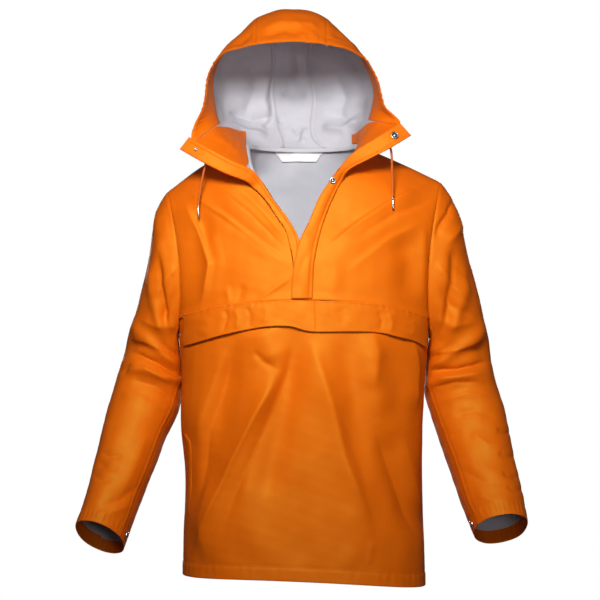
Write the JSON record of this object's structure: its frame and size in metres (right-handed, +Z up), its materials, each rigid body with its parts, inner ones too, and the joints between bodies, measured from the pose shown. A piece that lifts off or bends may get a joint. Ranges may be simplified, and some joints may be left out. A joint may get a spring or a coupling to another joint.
{
  "type": "hooded rain anorak",
  "caption": "Filled-out pull-on rain anorak with the hood up, an open neck with a storm flap, a chest pocket flap, bent sleeves and drawstring ends.",
  "frame": {"origin": "where the neck of the garment rests on the wearer, on the centre plane, level with the base of the collar between the two shoulder points", "axes": "+Z up along the wearer's spine, -Y the way the front faces, +X to the wearer's left; left and right in node names are as seen from the front"},
  "size_m": [0.795, 0.2969, 1.0317],
  "materials": {
    "coated_fabric": "satin coated face outside, matt pale grey backing inside",
    "label": "matt",
    "cord": "matt braided",
    "metal": "satin"
  },
  "bodies": {
    "root": {"front_lower": "coated_fabric", "front_upper_left": "coated_fabric", "front_upper_right": "coated_fabric", "back": "coated_fabric", "sleeve_left": "coated_fabric", "sleeve_right": "coated_fabric", "hood_left": "coated_fabric", "hood_right": "coated_fabric", "hood_centre": "coated_fabric", "hood_hem": "coated_fabric", "collar_facing_left": "coated_fabric", "collar_facing_right": "coated_fabric", "storm_flap": "coated_fabric", "underlap": "coated_fabric", "pocket_flap": "coated_fabric", "pocket_welt": "coated_fabric", "neck_label": "label", "drawstring_left": "cord", "drawstring_right": "cord", "snap_corner": "metal", "snap_neck": "metal", "snap_underlap": "metal", "snap_cuff_left": "metal", "snap_cuff_right": "metal", "tip_left": "metal", "tip_right": "metal"}
  },
  "joints": []
}
